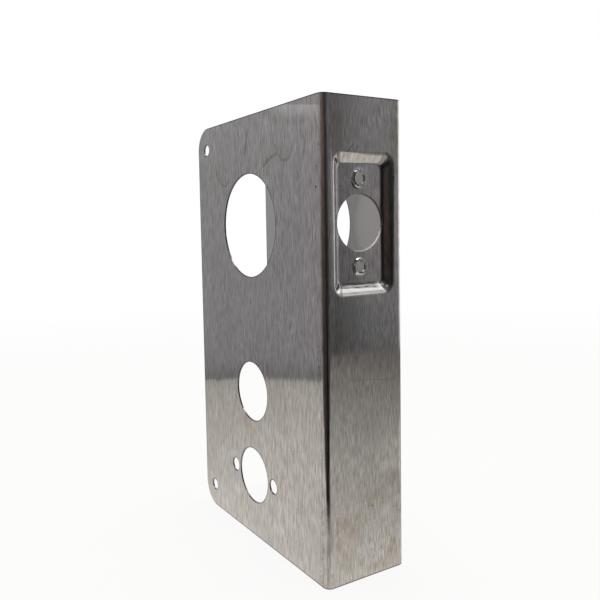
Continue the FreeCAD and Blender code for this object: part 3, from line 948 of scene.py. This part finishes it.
class DoorPlateSteel(bpy.types.PropertyGroup):
    colour: FloatVectorProperty(
        name="Steel Colour", description="Colour of the bare steel", subtype="COLOR", size=3,
        min=0.0, max=1.0, default=(0.56, 0.55, 0.54))
    roughness: FloatProperty(
        name="Roughness", description="Gloss along the grain", subtype="FACTOR",
        default=0.105, min=0.0, max=1.0)
    anisotropy: FloatProperty(
        name="Anisotropy", description="How much wider the gloss spreads across the grain",
        subtype="FACTOR", default=0.78, min=0.0, max=1.0)
    grain_width: FloatProperty(
        name="Grain Width", description="Width of the finest grain lines", unit="LENGTH",
        default=0.00055)
    grain_length: FloatProperty(
        name="Grain Length", description="Length of the finest grain lines", unit="LENGTH",
        default=0.0055)
    grain_contrast: FloatProperty(
        name="Grain Contrast", description="How far the finest lines differ in tone",
        subtype="FACTOR", default=0.37, min=0.0, max=1.0)
    rim_strength: FloatProperty(
        name="Rim Strength", description="How dark the lines are where the sheet is cut",
        subtype="FACTOR", default=0.75, min=0.0, max=1.0)
    grain_depth: FloatProperty(
        name="Grain Depth", description="Depth of the grain in the shading", unit="LENGTH",
        default=0.000005)
    wave_depth: FloatProperty(
        name="Wave Depth", description="Depth of the slow waves in the sheet", unit="LENGTH",
        default=0.00002)


class DoorPlateStage(bpy.types.PropertyGroup):
    camera_place: FloatVectorProperty(
        name="Camera Place", description="Where the camera stands", subtype="TRANSLATION",
        unit="LENGTH", size=3, default=(-0.195715, -0.3014, 0.1683))
    yaw: FloatProperty(
        name="Yaw", description="Turn of the camera about the vertical", subtype="ANGLE",
        default=math.radians(-30.31))
    pitch: FloatProperty(
        name="Pitch", description="Tilt of the camera, negative looks down", subtype="ANGLE",
        default=math.radians(-4.12))
    roll: FloatProperty(
        name="Roll", description="Turn of the camera about its view line", subtype="ANGLE",
        default=math.radians(-1.21))
    focal_length: FloatProperty(
        name="Focal Length", description="Focal length for a 36 mm sensor, in millimetres",
        default=39.138)
    shift_x: FloatProperty(
        name="Shift X", description="Sideways shift of the lens", default=0.0665)
    shift_y: FloatProperty(
        name="Shift Y", description="Upward shift of the lens", default=-0.0385)
    floor_colour: FloatVectorProperty(
        name="Floor Colour", description="Colour of the pale floor", subtype="COLOR", size=3,
        min=0.0, max=1.0, default=(0.80, 0.78, 0.75))
    floor_white: FloatProperty(
        name="Floor White", description="Share of plain white that the camera sees in the floor",
        subtype="FACTOR", default=0.9, min=0.0, max=1.0)
    mirrored_colour: FloatVectorProperty(
        name="Mirrored Colour", description="Colour of the floor as the steel mirrors it",
        subtype="COLOR", size=3, min=0.0, max=1.0, default=(1.0, 0.95, 0.88))
    mirrored_level: FloatProperty(
        name="Mirrored Level", description="Brightness of the mirrored floor at its brightest",
        default=0.655, min=0.0)
    mirrored_reach: FloatProperty(
        name="Mirrored Reach", description="How far the light on the mirrored floor carries",
        unit="LENGTH", default=0.56, min=0.01)
    mirrored_centre: FloatVectorProperty(
        name="Mirrored Centre", description="Where the mirrored floor is brightest",
        subtype="TRANSLATION", unit="LENGTH", size=3, default=(-0.135, 0.065, 0.0))
    surround_level: FloatProperty(
        name="Surround Level", description="Brightness of the surround", default=1.0, min=0.0)
    ambient: FloatProperty(
        name="Ambient", description="Brightness of the world's plain light", default=0.4, min=0.0)
    top_power: FloatProperty(
        name="Top Lamp Power", description="Power of the large soft lamp above, in watts",
        default=9.0, min=0.0)


class DOORPLATE_PT_panel(bpy.types.Panel):
    """Lists the steps and settings of the door plate"""
    bl_label = "Door Plate"
    bl_idname = "DOORPLATE_PT_panel"
    bl_space_type = "VIEW_3D"
    bl_region_type = "UI"
    bl_category = "Door Plate"

    def draw(self, context):
        layout = self.layout
        for step in STEPS:
            layout.operator(step.bl_idname)
        for group in (context.scene.door_plate_steel, context.scene.door_plate_stage):
            box = layout.box()
            for name in group.__annotations__:
                box.prop(group, name)


STEPS = (DOORPLATE_OT_dress_plate, DOORPLATE_OT_set_stage)
CLASSES = (DoorPlateSteel, DoorPlateStage) + STEPS + (DOORPLATE_PT_panel,)


def register():
    for item in CLASSES:
        bpy.utils.register_class(item)
    bpy.types.Scene.door_plate_steel = PointerProperty(type=DoorPlateSteel)
    bpy.types.Scene.door_plate_stage = PointerProperty(type=DoorPlateStage)


def unregister():
    del bpy.types.Scene.door_plate_stage
    del bpy.types.Scene.door_plate_steel
    for item in reversed(CLASSES):
        bpy.utils.unregister_class(item)


def main():
    register()
    bpy.ops.door_plate.dress_plate()
    bpy.ops.door_plate.set_stage()


if __name__ == "__main__":
    main()
